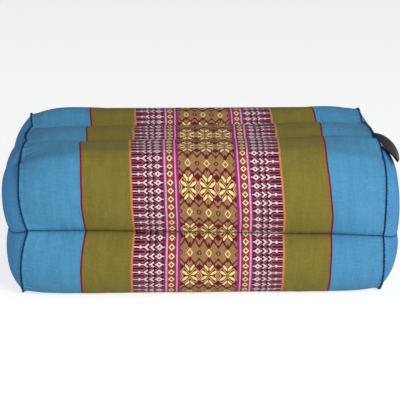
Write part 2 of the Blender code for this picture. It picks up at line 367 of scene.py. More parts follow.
def sew_cover():
    cover = bmesh.new()
    for mesh in (cut_wrap(), cut_panel(-1), cut_panel(1)):
        cover.from_mesh(mesh)
        bpy.data.meshes.remove(mesh)
    bmesh.ops.remove_doubles(cover, verts=cover.verts, dist=SEW_WITHIN)
    roll_front_edge(cover)
    for v in cover.verts:
        v.co.z = max(0.0, v.co.z)
    open_edges = sum(not edge.is_manifold for edge in cover.edges)
    print(f"cover: {len(cover.faces)} faces, {open_edges} open edges")
    return cover


def put(name, data):
    """Puts a mesh, a curve, a camera or a lamp in the scene as a new object."""
    made = bpy.data.objects.new(name, data)
    bpy.context.scene.collection.objects.link(made)
    return made


def show(name, mesh, *materials):
    """Puts a finished mesh in the scene as a smooth piece with its materials."""
    for material in materials:
        mesh.materials.append(material)
    mesh.shade_smooth()
    return put(name, mesh)


def new_piece(name, form, *materials):
    """A piece made of a bmesh, with its faces turned outward."""
    bmesh.ops.recalc_face_normals(form, faces=form.faces)
    mesh = bpy.data.meshes.new(name)
    form.to_mesh(mesh)
    form.free()
    return show(name, mesh, *materials)


cushion = new_piece("cushion_cover", sew_cover())

# %% [markdown]
# ## Stuffing it
#
# Kapok is packed in hard, so the cloth is tight between its seams and shows only soft
# unevenness. Blender's cloth simulation gives that: air pressure stands for the kapok,
# the sewn lines are pinned, and gravity is off because the stuffing carries the cloth.
# Each point may move only a little, so the cushion keeps the size it was cut for. One
# round of subdivision afterwards makes the cloth smooth, with the sewn lines kept sharp.

# %% Fill it with a short cloth simulation
FILL = {"frames": 16, "pressure": 4.0, "slack": 0.003, "most_move": 0.0016, "floor": 0.0005}
SEWN = 0.999


def read(items, what, width=1, kind=float):
    """Values of many vertices, corners or edges at once, one row each."""
    flat = np.empty(len(items) * width, kind)
    items.foreach_get(what, flat)
    return flat.reshape(-1, width) if width > 1 else flat


def fill_cover(cushion):
    """Swells the cloth between its seams and keeps every point's move small."""
    mesh, scene = cushion.data, bpy.context.scene
    before = read(mesh.vertices, "co", 3)
    held = np.where(before[:, 2] < FILL["floor"], 1, read(mesh.attributes["hold"].data, "value"))
    pins = cushion.vertex_groups.new(name="sewn")
    for index in np.flatnonzero(held > 1 - SEWN):
        pins.add([int(index)], float(held[index]), "REPLACE")
    cloth = cushion.modifiers.new("filling", "CLOTH")
    cloth.settings.use_pressure = True
    cloth.settings.uniform_pressure_force = FILL["pressure"]
    cloth.settings.vertex_group_mass = "sewn"
    cloth.settings.shrink_min = -FILL["slack"]
    cloth.settings.quality = 4
    cloth.settings.effector_weights.gravity = 0
    cloth.point_cache.frame_start, cloth.point_cache.frame_end = 1, FILL["frames"]
    for number in range(1, FILL["frames"] + 1):
        scene.frame_set(number)
    filled = cushion.evaluated_get(bpy.context.evaluated_depsgraph_get()).to_mesh()
    moved = read(filled.vertices, "co", 3) - before
    cushion.modifiers.remove(cloth)
    cushion.vertex_groups.remove(pins)
    scene.frame_set(1)
    far = np.linalg.norm(moved, axis=1)
    after = before + moved * np.minimum(1, FILL["most_move"] / np.maximum(far, 1e-9))[:, None]
    after[:, 2] = np.maximum(after[:, 2], 0)
    mesh.vertices.foreach_set("co", after.ravel())
    mesh.update()
    usual, most = np.median(far) * 1000, far.max() * 1000
    print(f"the cloth would move {usual:.2f} mm at most places and {most:.1f} mm at most")


fill_cover(cushion)

# %% Smooth the cover, and keep its sewn lines sharp
SEAM_CREASE = 0.85


def subdivide_cover(cushion):
    mesh = cushion.data
    sewn = read(mesh.attributes["hold"].data, "value") > SEWN
    ends = read(mesh.edges, "vertices", 2, int)
    crease = mesh.attributes.new("crease_edge", "FLOAT", "EDGE")
    crease.data.foreach_set("value", np.where(sewn[ends].all(axis=1), SEAM_CREASE, 0.0))
    smooth = cushion.modifiers.new("smooth", "SUBSURF")
    smooth.levels = smooth.render_levels = 1
    smooth.uv_smooth = "NONE"
    graph = bpy.context.evaluated_depsgraph_get()
    ready = cushion.evaluated_get(graph)
    fine = bpy.data.meshes.new_from_object(ready, preserve_all_data_layers=True, depsgraph=graph)
    cushion.modifiers.clear()
    cushion.data = fine
    bpy.data.meshes.remove(mesh)
    fine.name = "cushion_cover"
    fine.attributes.remove(fine.attributes["crease_edge"])
    fine.shade_smooth()
    print(f"smoothed: {len(fine.polygons)} faces")


subdivide_cover(cushion)

# %% [markdown]
# ## Gathers
#
# Where the tight cloth is sewn, it can't lie quite flat: short folds run from every
# stitch line straight out into the cloth, a few millimetres to some two centimetres.
# They are real relief here, made by moving points along their normals. Waves of a few
# lengths are added up along the seam with seeded phases, so that no two folds match.

# %% Raise the gathers beside the rims and the channel seams
GATHERS = table(
    "where height near far",
    ("left rim", 0.00060, 0.007, 0.026),
    ("right rim", 0.00048, 0.007, 0.022),
    ("panel rim", 0.00048, 0.006, 0.018),
    ("channel", 0.00036, 0.004, 0.012),
    ("panel seam", 0.00032, 0.004, 0.010),
)
GATHER_WAVES = (0.0043, 0.0062, 0.0089, 0.0135)
REACH_WAVES = (0.021, 0.034, 0.055)
GATHER_START, GATHER_CURVE, FLOOR_FADE = 0.0022, 1.6, 0.006


def wavy(place, lengths):
    """Uneven waves between about -1 and 1 along a seam, with seeded phases."""
    phases = chance.uniform(0, 2 * math.pi, len(lengths))
    return sum(np.sin(2 * math.pi * place / n + f) for n, f in zip(lengths, phases)) / len(lengths) ** 0.5


def gather(kind, gap, place):
    """How far the folds of one seam lift points at a gap from it and a place along it."""
    size = next(row for row in GATHERS if row["where"] == kind)
    reach = blend(size["near"], size["far"], np.clip(0.5 + 0.5 * wavy(place, REACH_WAVES), 0, 1))
    grown = np.clip(np.abs(gap) / GATHER_START, 0, 1)
    return size["height"] * wavy(place, GATHER_WAVES) * grown * fade(gap, reach, GATHER_CURVE)


def cloth_to_box(around):
    """The box coordinates p and q of places round the wrap."""
    size, sign, back_edge = np.abs(around), np.where(around < 0, -1, 1), HALF_SIDE + 2 * HALF_TOP
    p = np.clip(size - HALF_SIDE, 0, 2 * HALF_TOP) - HALF_TOP
    past_front = np.where(size <= back_edge, HALF_SIDE, HALF_SIDE + back_edge - size)
    return p, sign * np.where(size <= HALF_SIDE, size, past_front)


def gather_lift(uv):
    """The lift at every face corner, from its cloth coordinates."""
    wrap = np.abs(uv[:, 0]) < 1
    x, around = uv[wrap].T
    p, q = cloth_to_box(around)
    faces, lift = faces_of(p, q), np.zeros(len(uv))
    rim_gap = HALF_LENGTH - np.abs(x)
    on_wrap = np.where(x < 0, gather("left rim", rim_gap, around), gather("right rim", rim_gap, around))
    for seam in SEAMS:
        folds = gather("channel", seam_gap(seam, x, p, q), x)
        on_wrap += np.where(faces[seam["face"]], folds, 0)
    lift[wrap] = on_wrap
    p, q = uv[~wrap, 0] - 2 * np.sign(uv[~wrap, 0]), uv[~wrap, 1]
    side = 0.2 * np.sign(uv[~wrap, 0])
    on_panel = gather("panel rim", HALF_TOP - np.abs(p), q + side + np.sign(p))
    on_panel += gather("panel rim", HALF_SIDE - np.abs(q), p + side + np.sign(q))
    for seam in TOP_SEAMS:
        on_panel += gather("panel seam", p - seam["left"], q + side)
    on_panel += gather("panel seam", q - SIDE_LINE, p + side)
    lift[~wrap] = on_panel
    return lift


def raise_gathers(cushion):
    mesh = cushion.data
    lift = gather_lift(read(mesh.uv_layers["cloth"].uv, "vector", 2))
    corner = read(mesh.loops, "vertex_index", kind=int)
    count = np.bincount(corner, minlength=len(mesh.vertices))
    lift = np.bincount(corner, lift, minlength=len(mesh.vertices)) / np.maximum(count, 1)
    places, normals = read(mesh.vertices, "co", 3), read(mesh.vertices, "normal", 3)
    off_floor = np.clip(places[:, 2] / FLOOR_FADE, 0, 1)
    places = places + normals * (lift * off_floor)[:, None]
    places[:, 2] = np.maximum(places[:, 2], 0)
    mesh.vertices.foreach_set("co", places.ravel())
    mesh.update()
    print(f"gathers lift the cloth by up to {lift.max() * 1000:.2f} mm")


raise_gathers(cushion)

# %% [markdown]
# ## Where the woven pattern lies
#
# The band is woven into the wrap, so it has its own coordinates in the cloth: how far
# from the band's middle line, and how far along the cloth. The maker's seams take up
# some cloth and pull it a little to one side, so the stripes wander by a few millimetres
# and the rows close up where the cloth turns. Two tables in millimetres say by how much:
# pairs of a place round the block and the pattern's own place there, and the stripes'
# edges at a few places round the block. To the right the rows also drop a little.

# %% Lay the pattern's coordinates on the wrap
ROW_TABLE = (
    (-295.0, -325.9), (-47.4, -88.8), (-25.7, -66.6), (-20.3, -61.4), (-15.0, -56.7), (-10.9, -51.0),
    (-10.0, -44.8), (6.6, -27.4), (13.5, -22.2), (36.3, 0.0), (59.8, 22.2), (64.8, 27.3),
    (71.6, 35.6), (80.2, 45.8), (91.6, 56.0), (96.3, 61.3), (128.0, 133.2), (136.7, 142.7),
    (142.2, 149.4), (159.7, 158.0), (183.8, 186.8), (188.0, 194.3), (191.6, 199.4), (198.2, 205.1),
    (208.9, 215.0), (295.0, 295.7),
)
LINE_COLUMNS = ("around", "left_line", "middle", "right_line")
LINE_TABLE = (
    (-140, -107.6, 5.6, 112.9),
    (-39, -107.3, 5.9, 113.0),
    (-12, -107.4, 6.0, 114.8),
    (7, -106.0, 5.8, 114.1),
    (30, -105.1, 5.0, 111.0),
    (50, -105.5, 4.2, 108.8),
    (64, -105.9, 3.9, 108.0),
    (94, -107.6, 3.8, 109.2),
    (127, -104.4, 4.3, 113.5),
    (150, -104.4, 4.3, 114.0),
    (184, -103.4, 4.5, 116.0),
    (207, -104.4, 4.7, 113.2),
)
LINE_PLACE, RIGHT_BEND = 0.1109, 0.03
ROW_DROP, DROP_FROM, DROP_TO, DROP_FOOT, DROP_RISE = 0.0034, -0.030, 0.050, -0.060, 0.050
HALF_REPEAT = 0.0222


def pattern_places(uv):
    """The band's coordinates, in metres, for cloth coordinates of the wrap."""
    x, around = uv.T
    rows, lines = np.array(ROW_TABLE) / 1000, dict(zip(LINE_COLUMNS, np.array(LINE_TABLE).T / 1000))
    left, middle, right = (
        np.interp(around, lines["around"], lines[name]) for name in ("left_line", "middle", "right_line")
    )
    part = (x - middle) / np.where(x < middle, middle - left, right - middle)
    bent = part - RIGHT_BEND * np.clip(part, 0, 1) * (1 - np.clip(part, 0, 1))
    share = np.clip((x - DROP_FROM) / (DROP_TO - DROP_FROM), 0, 1)
    rising = np.clip((around - DROP_FOOT) / DROP_RISE, 0, 1)
    drop = ROW_DROP * share * share * (3 - 2 * share) * rising
    return np.stack((LINE_PLACE * bent, np.interp(around, *rows.T) + drop), -1)


def lay_pattern(cushion):
    mesh = cushion.data
    uv = read(mesh.uv_layers["cloth"].uv, "vector", 2)
    wrap = np.abs(uv[:, 0]) < 1
    uv[wrap] = pattern_places(uv[wrap])
    layer = mesh.uv_layers.new(name="woven")
    layer.uv.foreach_set("vector", uv.ravel())
    print(f"the band runs {np.ptp(uv[wrap, 1]) / 2 / HALF_REPEAT:.1f} repeats round the block")


lay_pattern(cushion)

# %% [markdown]
# ## Charts for the woven motifs
#
# The band is a traditional kind of brocade: extra coloured threads float over the ground
# in small stepped shapes, as on graph paper. So each motif is a chart with one letter for
# each crossing of threads. Where petals, arms, tips and diamonds lie in the repeat was
# measured on the photo, and the even steps between them were written one by one. The flower
# and the links are drawn as a quarter and the arrow as a half: folding the coordinates
# back and forth repeats them. A shader can't read text, so a ramp stores up to sixteen
# letters of a row as three numbers, and each binary digit of them belongs to one column.
# Three digits make a number from 0 to 7, which picks the thread's colour.

# %% The charts and their threads' colours
FLOWER_CHART = (
    "oobbbbbbbbbppvvv",
    "oocccccbbbbppbvv",
    "oobccccccbbbppbv",
    "ppbbcccccccbbppb",
    "bppbbcccccccbbpp",
    "bbppbbcccccccbbp",
    "bbbppbbbcccccbpp",
    "obbbppbbbbccbppm",
    "occbbppbbbbbppbm",
    "occcbbppbbbppbmm",
    "occccbbppbppbmmm",
    "occcccbbpppbmmmm",
    "obcccccbbbbbmmmm",
    "obbcccccbbbbbmmm",
    "ovbbccccbbbbbbmm",
    "vvvbbcccbbvvbbbm",
    "vvvvbbbbbbvvvvbb",
    "vvvvvbbbbbvvvvvb",
    "vvvvvbbbbbbvvvvv",
    "vvvvbbbb:bbbvvvv",
    "mvvbbbb.:.bbbvvv",
    "mmvbbb.:.:.bbbvv",
    "mmmbb.:.:.:.bbbb",
    "mmbb.:.:.:.:.bbb",
    "mbb.:.:.:.:.:.bb",
    "bbb:.:.:.:.:.:.b",
    "b.:.:.:.:.:.:.:.",
    "c:.:.:.:.:.:.:.:",
    "cc:.:.:.:.:.:.:.",
    "occ:.:.:.:.:.:bb",
    "oocc:.:.:.:.:bb:",
    "ooocc:.:.:.:bb:.",
)
FLOWER_THREADS = {
    ".": (0.61, 0.52, 0.28),
    ":": (0.57, 0.35, 0.30),
    "c": (0.94, 0.83, 0.56),
    "p": (0.80, 0.62, 0.45),
    "m": (0.40, 0.07, 0.14),
    "b": (0.33, 0.14, 0.07),
    "v": (0.63, 0.42, 0.37),
    "o": (0.53, 0.46, 0.20),
}
ARROW_CHART = (
    "wwwwwwwwwwwwwwwwwwwwnnnnwwwwwnnnnwwwwwnnnwwwwwwk",
    "ddddddddwwwwdddddwwwwnndddwwwwnndddwwwwnwwwwdddk",
    "dddddddddwwdddddddwwwwdddddwwwwdddddwwwwwwwddddk",
    "dddddddddddddeeedddwwwweeeddwwwweedddwwwwwdddkkk",
    "eeeeeeeeeeeeeeeeedddwwwdeeeddwwwdeedddwwwddddddk",
    "eeeeeeeeeeeeeeeeeedddwdddeeeddwdddeedddwdddddddk",
    "ddddddddddddddddeeedddddddeeeddddddeeedddeekkkkk",
    "dddddddddddddddddeeedddddddeeeddddddeeedeeekkkkk",
)
ARROW_THREADS = {
    "w": (0.87, 0.77, 0.79),
    "d": (0.27, 0.04, 0.13),
    "e": (0.58, 0.30, 0.38),
    "k": (0.50, 0.18, 0.36),
    "n": (0.20, 0.08, 0.12),
}
LINK_CHART = (
    "gggcccbk",
    "ggcccbkk",
    "gcccbrkk",
    "cccbrrkk",
    "ccbrrrkk",
    "cbrrrrkk",
    "brrrrrkk",
    "rrrrrrkk",
)
LINK_THREADS = {
    "c": (0.91, 0.85, 0.62),
    "g": (0.28, 0.36, 0.18),
    "b": (0.42, 0.20, 0.12),
    "r": (0.60, 0.20, 0.22),
    "k": (0.50, 0.16, 0.36),
}
BLOCK = 16
DIGITS = 2**BLOCK


def linear(colour):
    """A colour as painted on screen (0 to 1) in the renderer's linear light."""
    return tuple(((c + 0.055) / 1.055) ** 2.4 if c > 0.04 else c / 12.92 for c in colour) + (1,)


def feed(tree, node, inputs):
    """Links or sets some inputs of a node, each by its name or its number."""
    for name, value in inputs.items():
        if isinstance(value, bpy.types.NodeSocket):
            tree.links.new(value, node.inputs[name])
        elif value is not None:
            node.inputs[name].default_value = value
    return node


def add(tree, kind, *values, **options):
    """Adds a node with its options, and feeds its inputs in order."""
    made = tree.nodes.new(kind)
    for name, option in options.items():
        setattr(made, name, option)
    return feed(tree, made, dict(enumerate(values)))


def maths(tree, operation, *values):
    return add(tree, "ShaderNodeMath", *values, operation=operation).outputs[0]


def vector_maths(tree, operation, *values):
    made = add(tree, "ShaderNodeVectorMath", *values, operation=operation)
    return made.outputs["Value" if operation == "DOT_PRODUCT" else "Vector"]


def grey(tree, value):
    """One value three times, as a vector."""
    return add(tree, "ShaderNodeCombineXYZ", value, value, value).outputs[0]


def pick(tree, place, colours):
    """A ramp of plain steps: place 0 gives the first colour, 1 the second, and so on."""
    share = maths(tree, "DIVIDE", maths(tree, "ADD", place, 0.5), len(colours))
    ramp = add(tree, "ShaderNodeValToRGB", share)
    ramp.color_ramp.interpolation = "CONSTANT"
    stops = ramp.color_ramp.elements
    while len(stops) < len(colours):
        stops.new(1)
    for i, colour in enumerate(colours):
        stops[i].position = i / len(colours)
        stops[i].color = colour
    return ramp.outputs["Color"]


def new_group(name, inputs, outputs):
    """A node group with named sockets, what it is given, and the node that takes its results."""
    group = bpy.data.node_groups.new(name, "ShaderNodeTree")
    for direction, sockets in (("INPUT", inputs), ("OUTPUT", outputs)):
        for label, kind in sockets.items():
            group.interface.new_socket(label, in_out=direction, socket_type="NodeSocket" + kind)
    return group, group.nodes.new("NodeGroupInput").outputs, group.nodes.new("NodeGroupOutput")


def chart_group(name, chart, threads_used):
    """A group that gives the thread's colour for a column and a row of one chart."""
    group, given, result = new_group(name, {"Column": "Float", "Row": "Float"}, {"Color": "Color"})
    letters, stops = list(threads_used), []
    for start in range(0, len(chart[0]), BLOCK):
        for row in chart:
            numbers = [letters.index(letter) for letter in row[start : start + BLOCK]]
            bits = [sum((n >> bit & 1) << i for i, n in enumerate(numbers)) for bit in range(3)]
            stops.append([b / DIGITS for b in bits] + [1])
    column, row = maths(group, "FLOOR", given["Column"]), maths(group, "FLOOR", given["Row"])
    block = maths(group, "FLOOR", maths(group, "DIVIDE", column, BLOCK))
    stored = pick(group, maths(group, "MULTIPLY_ADD", block, len(chart), row), stops)
    place = maths(group, "SUBTRACT", column, maths(group, "MULTIPLY", block, BLOCK))
    power = grey(group, maths(group, "POWER", 2, place))
    whole = vector_maths(group, "MULTIPLY_ADD", stored, (DIGITS,) * 3, (0.25,) * 3)
    divided = vector_maths(group, "DIVIDE", whole, power)
    digits = vector_maths(group, "MODULO", vector_maths(group, "FLOOR", divided), (2, 2, 2))
    number = vector_maths(group, "DOT_PRODUCT", digits, (1, 2, 4))
    feed(group, result, {"Color": pick(group, number, [linear(c) for c in threads_used.values()])})
    return group


charts = {
    "flowers": chart_group("flower_chart", FLOWER_CHART, FLOWER_THREADS),
    "arrows": chart_group("arrow_chart", ARROW_CHART, ARROW_THREADS),
    "links": chart_group("link_chart", LINK_CHART, LINK_THREADS),
}
print("charts:", {name: len(group.nodes) for name, group in charts.items()}, "nodes each")

# %% [markdown]
# ## The cloth's own look
#
# Plain cotton is never one flat colour. Its threads cross over and under, and each
# thread is a little thicker or paler in places. One node group makes that for every
# cloth in the scene: fine crossings as height for a bump, and long soft streaks along
# both directions of thread that darken and lighten whatever colour it is given.

# %% Node groups for woven cotton and its finest folds
def mix(tree, factor, low, high):
    """Two colours mixed; a mix node keeps colours in its inputs 6 and 7."""
    made = add(tree, "ShaderNodeMix", factor, data_type="RGBA")
    return feed(tree, made, {6: low, 7: high}).outputs[2]


def streaks(tree, places, stretch, detail):
    """Soft uneven streaks: noise seen through unequal scales, about 0 to 1."""
    scaled = vector_maths(tree, "MULTIPLY", places, stretch)
    noise = add(tree, "ShaderNodeTexNoise", scaled)
    return feed(tree, noise, {"Scale": 1, "Detail": detail}).outputs["Fac"]


def bump(tree, height, distance, strength=None):
    made = add(tree, "ShaderNodeBump")
    feed(tree, made, {"Height": height, "Distance": distance, "Strength": strength})
    return made.outputs["Normal"]


def cotton_group():
    group, given, result = new_group(
        "woven_cotton",
        {"Cloth": "Vector", "Color": "Color", "Thread": "Float", "Unevenness": "Float"},
        {"Color": "Color", "Height": "Float", "Roughness": "Float"},
    )
    split = add(group, "ShaderNodeSeparateXYZ", given["Cloth"]).outputs
    across, along = (maths(group, "DIVIDE", split[i], given["Thread"]) for i in (0, 1))
    crossing = maths(group, "ADD", maths(group, "FLOOR", across), maths(group, "FLOOR", along))
    over = maths(group, "PINGPONG", crossing, 1)
    round_across, round_along = (maths(group, "PINGPONG", place, 0.5) for place in (across, along))
    weave = add(group, "ShaderNodeMix", over, None, round_across, round_along).outputs[0]
    warp = streaks(group, given["Cloth"], (900, 60, 1), 3)
    weft = streaks(group, given["Cloth"], (70, 1000, 1), 2)
    speckle = streaks(group, given["Cloth"], (520, 380, 1), 3)
    broad = streaks(group, given["Cloth"], (150, 22, 1), 2)
    fine = maths(group, "ADD", maths(group, "ADD", warp, weft), maths(group, "ADD", speckle, broad))
    centred = maths(group, "MULTIPLY", maths(group, "SUBTRACT", fine, 2), given["Unevenness"])
    brightness = grey(group, maths(group, "ADD", centred, 1))
    slubs = maths(group, "MULTIPLY", maths(group, "ADD", warp, weft), 0.6)
    results = {
        "Color": vector_maths(group, "MULTIPLY", given["Color"], brightness),
        "Height": maths(group, "ADD", weave, slubs),
        "Roughness": maths(group, "MULTIPLY_ADD", warp, 0.12, 0.72),
    }
    feed(group, result, results)
    return group


RIM_FOLDS, SEAM_FOLDS = 0.024, 0.016


def fold_group():
    """Height of the finest folds: they run straight out from the rims and the front seam."""
    group, given, result = new_group("fine_folds", {"Cloth": "Vector"}, {"Height": "Float"})
    split = add(group, "ShaderNodeSeparateXYZ", given["Cloth"]).outputs
    rim_gap = maths(group, "SUBTRACT", HALF_LENGTH, maths(group, "ABSOLUTE", split[0]))
    front_gap = maths(group, "SUBTRACT", split[1], SIDE_LINE)
    heights = []
    edges = (rim_gap, RIM_FOLDS, (35, 430, 1)), (front_gap, SEAM_FOLDS, (380, 60, 1))
    for gap, reach, stretch in edges:
        share = maths(group, "DIVIDE", maths(group, "ABSOLUTE", gap), reach)
        near = maths(group, "MAXIMUM", maths(group, "SUBTRACT", 1, share), 0)
        folds = streaks(group, given["Cloth"], stretch, 1)
        heights.append(maths(group, "MULTIPLY", maths(group, "MULTIPLY", near, near), folds))
    feed(group, result, {"Height": maths(group, "ADD", *heights)})
    return group


cotton, fine_folds = cotton_group(), fold_group()
THREAD, UNEVENNESS, SHEEN = 0.00045, 0.32, 0.03
BUMP_HEIGHT, FOLD_SHARE = 0.00022, 7.0
# Painted shade along every seam and rim: near a sewn line the cloth's colour is mixed towards a
# near-black, by up to CREASE_SHADE.
CREASE_FROM, CREASE_SHADE, PAINTED_SHADE_COLOUR = 0.68, 0.65, (0.004, 0.008, 0.012, 1)


def new_material(name):
    made = bpy.data.materials.new(name)
    made.use_nodes = True
    return made, made.node_tree, made.node_tree.nodes["Principled BSDF"]


def dress(tree, shader, colour):
    """Puts the woven cotton group, the fine folds and a shade painted along the seams and rims before a
    shader.
    """
    places = add(tree, "ShaderNodeUVMap", uv_map="woven").outputs["UV"]
    cloth = add(tree, "ShaderNodeGroup", places, colour, THREAD, UNEVENNESS, node_tree=cotton).outputs
    flat = add(tree, "ShaderNodeUVMap", uv_map="cloth").outputs["UV"]
    folds = add(tree, "ShaderNodeGroup", flat, node_tree=fine_folds).outputs["Height"]
    height = maths(tree, "MULTIPLY_ADD", folds, FOLD_SHARE, cloth["Height"])
    # Painted shade: the base colour is darkened along the seams and rims, most on the sewn lines.
    held = add(tree, "ShaderNodeAttribute", attribute_name="hold").outputs["Fac"]
    painted_shade = add(tree, "ShaderNodeMapRange", held, CREASE_FROM, 1, 0, CREASE_SHADE).outputs[0]
    look = {
        "Base Color": mix(tree, painted_shade, cloth["Color"], PAINTED_SHADE_COLOUR),
        "Roughness": cloth["Roughness"],
        "Normal": bump(tree, height, BUMP_HEIGHT, 0.8),
        "Sheen Weight": SHEEN,
        "Sheen Roughness": 0.5,
        "Specular IOR Level": 0.12,
    }
    feed(tree, shader, look)


# %% The plain cloth of the end panels, and the striped wrap
PANEL_BLUE = (0.28, 0.53, 0.72)
# Each stripe's name, how far from the band's middle line it starts, and its colour.
STRIPES = (
    ("flowers", 0, (0, 0, 0)),
    ("inner magenta", 0.02505, (0.58, 0.16, 0.38)),
    ("inner lilac", 0.0273, (0.80, 0.57, 0.73)),
    ("magenta by the links", 0.0287, (0.52, 0.17, 0.36)),
    ("links", 0.0292, (0, 0, 0)),
    ("outer lilac", 0.0366, (0.80, 0.57, 0.73)),
    ("outer magenta", 0.0380, (0.55, 0.18, 0.38)),
    ("arrows", 0.0386, (0, 0, 0)),
    ("orange", 0.0663, (0.78, 0.48, 0.28)),
    ("olive", 0.0682, (0.47, 0.43, 0.18)),
    ("brown orange", 0.1096, (0.58, 0.36, 0.20)),
    ("red", 0.1101, (0.62, 0.22, 0.24)),
    ("wine", 0.1108, (0.38, 0.11, 0.19)),
    ("blue", 0.1121, (0.285, 0.54, 0.69)),
)
HALF_FLOWER, HALF_ROW = 0.00835, 0.0037
LINK_MIDDLE, LINK_HALF, ARROW_TIP, ARROW_LENGTH = 0.0328, 0.0036, 0.0663, 0.0277


def striped_colour(tree, places):
    """The wrap's colour at its pattern coordinates: stripes, with charts in three of them."""
    split = add(tree, "ShaderNodeSeparateXYZ", places).outputs
    off, along = maths(tree, "ABSOLUTE", split[0]), split[1]
    names, starts, colours = zip(*STRIPES)
    number = 0
    for start in starts[1:]:
        number = maths(tree, "ADD", maths(tree, "GREATER_THAN", off, start), number)
    colour = pick(tree, number, [linear(c) for c in colours])
    half_rows = maths(tree, "PINGPONG", maths(tree, "ADD", along, HALF_ROW), HALF_ROW)
    small_row = maths(tree, "MULTIPLY", half_rows, 8 / HALF_ROW)
    off_links = maths(tree, "ABSOLUTE", maths(tree, "SUBTRACT", off, LINK_MIDDLE))
    off_orange = maths(tree, "SUBTRACT", ARROW_TIP, off)
    flower_column = maths(tree, "PINGPONG", off, HALF_FLOWER)
    flower_row = maths(tree, "PINGPONG", along, HALF_REPEAT)
    folded = {
        "flowers": (
            maths(tree, "MULTIPLY", flower_column, 16 / HALF_FLOWER),
            maths(tree, "MULTIPLY", flower_row, 32 / HALF_REPEAT),
        ),
        "links": (maths(tree, "MULTIPLY", off_links, 8 / LINK_HALF), small_row),
        "arrows": (maths(tree, "MULTIPLY", off_orange, 48 / ARROW_LENGTH), small_row),
    }
    for name, places_on_chart in folded.items():
        made = add(tree, "ShaderNodeGroup", *places_on_chart, node_tree=charts[name]).outputs["Color"]
        here = maths(tree, "COMPARE", number, names.index(name), 0.5)
        colour = mix(tree, here, colour, made)
    return colour


panel_cloth, tree, shader = new_material("plain_blue_cotton")
dress(tree, shader, linear(PANEL_BLUE))
wrap_cloth, tree, shader = new_material("striped_cotton")
places = add(tree, "ShaderNodeUVMap", uv_map="woven").outputs["UV"]
dress(tree, shader, striped_colour(tree, places))
cushion.data.materials.append(wrap_cloth)
cushion.data.materials.append(panel_cloth)
print("cloths:", [material.name for material in cushion.data.materials])

# %% [markdown]
# ## Stitches
#
# The cover is closed by hand. Along each rim a navy cord lies in the seam, and a thin
# thread is whipped over it every few millimetres. The channels are held by a dark running
# stitch that dips into the cloth and comes up again; on top it stops short of the rims.
# Thread is easiest as curves with a round bevel: each stitch is one short curve, and a
# whole seam becomes one mesh. A ray towards the cloth finds where each thread lies, and
# where it misses, the nearest cloth does, so the sewing follows the stuffed shape.

# %% Lay threads on the cloth
CORD_RADIUS, WHIP_RADIUS, RUNNING_RADIUS = 0.00064, 0.00020, 0.00030
WHIP = {"pitch": 0.0031, "width": 0.0006, "slant": 0.0020, "dip": 0.0006, "bow": 0.0003}
RUNNING = {"stitch": 0.0036, "gap": 0.0002, "dip": 0.0004, "stop": 0.0015}
RAY_START, RAY_LENGTH = 0.012, 0.017
TOP_STOP = 0.020
surface = BVHTree.FromObject(cushion, bpy.context.evaluated_depsgraph_get())


def on_cloth(place, outward, lift):
    """The place on the stuffed cloth below a point, lifted off it by a distance."""
    place, outward = Vector(place), Vector(outward)
    hit = surface.ray_cast(place + outward * RAY_START, -outward, RAY_LENGTH)[0]
    return (hit or surface.find_nearest(place)[0]) + outward * lift


def rim_places(end, around, inset=0.0):
    """Places on one rim, or inset from it on the wrap, and the directions that face out."""
    p, q = cloth_to_box(around)
    normal = section(p, q)[1]
    outward = np.column_stack((np.full(len(p), end), normal)) / math.sqrt(2)
    return wrap_point(np.full_like(p, end * (HALF_LENGTH - inset)), p, q), outward


def panel_places(end, around, inset):
    """Places on an end panel, inset from its rim."""
    p, q = cloth_to_box(around)
    on_side = np.abs(p) > HALF_TOP - TOUCH
    p = np.where(on_side, np.sign(p) * (HALF_TOP - inset), p)
    q = np.where(on_side, q, np.sign(q) * (HALF_SIDE - inset))
    return panel_point(end, p, q)


def new_thread(name, runs, material):
    """One mesh of many lengths of thread; each run is its places, radius and closed or not."""
    curve = bpy.data.curves.new(name, "CURVE")
    curve.dimensions, curve.bevel_depth, curve.bevel_resolution = "3D", 0.001, 1
    curve.use_fill_caps = True
    for places, radius, closed in runs:
        places = np.array(places)
        places[:, 2] = np.maximum(places[:, 2], radius)
        spline = curve.splines.new("POLY")
        spline.points.add(len(places) - 1)
        spline.points.foreach_set("co", np.column_stack((places, np.ones(len(places)))).ravel())
        spline.points.foreach_set("radius", np.full(len(places), radius / curve.bevel_depth))
        spline.use_cyclic_u = closed
    route = put(name, curve)
    graph = bpy.context.evaluated_depsgraph_get()
    mesh = bpy.data.meshes.new_from_object(route.evaluated_get(graph), depsgraph=graph)
    bpy.data.objects.remove(route)
    mesh.name = name
    mesh.materials.clear()
    print(f"{name}: {len(runs)} lengths, {len(mesh.polygons)} faces")
    return show(name, mesh, material)


# %% Whip the rims
def rim_cord(end):
    around = np.linspace(-GIRTH / 2, GIRTH / 2, 420, endpoint=False)
    places, outward = rim_places(end, around)
    return [on_cloth(place, out, -0.2 * CORD_RADIUS) for place, out in zip(places, outward)]


def whip_stitches(end):
    count = round(GIRTH / WHIP["pitch"])
    starts = (np.arange(count) + chance.uniform(-0.12, 0.12, count)) * GIRTH / count - GIRTH / 2
    width, slant = WHIP["width"] * chance.uniform(0.7, 1.3, count), WHIP["slant"]
    near = rim_places(end, starts, width)[0]
    top, outward = rim_places(end, starts + slant / 2)
    far = panel_places(end, starts + slant, width)
    over = 1.6 * CORD_RADIUS + WHIP_RADIUS
    for a, b, c, out in zip(near, top, far, outward):
        level = Vector((0, *out[1:])).normalized()
        along = Vector((end, 0, 0))
        on_wrap, ridge = on_cloth(a, level, WHIP_RADIUS / 2), on_cloth(b, out, over)
        on_panel = on_cloth(c, along, WHIP_RADIUS / 2)
        rise = (on_wrap + ridge) / 2 + level * WHIP["bow"]
        fall = (on_panel + ridge) / 2 + along * WHIP["bow"]
        start, finish = on_wrap - level * WHIP["dip"], on_panel - along * WHIP["dip"]
        yield [start, on_wrap, rise, ridge, fall, on_panel, finish]


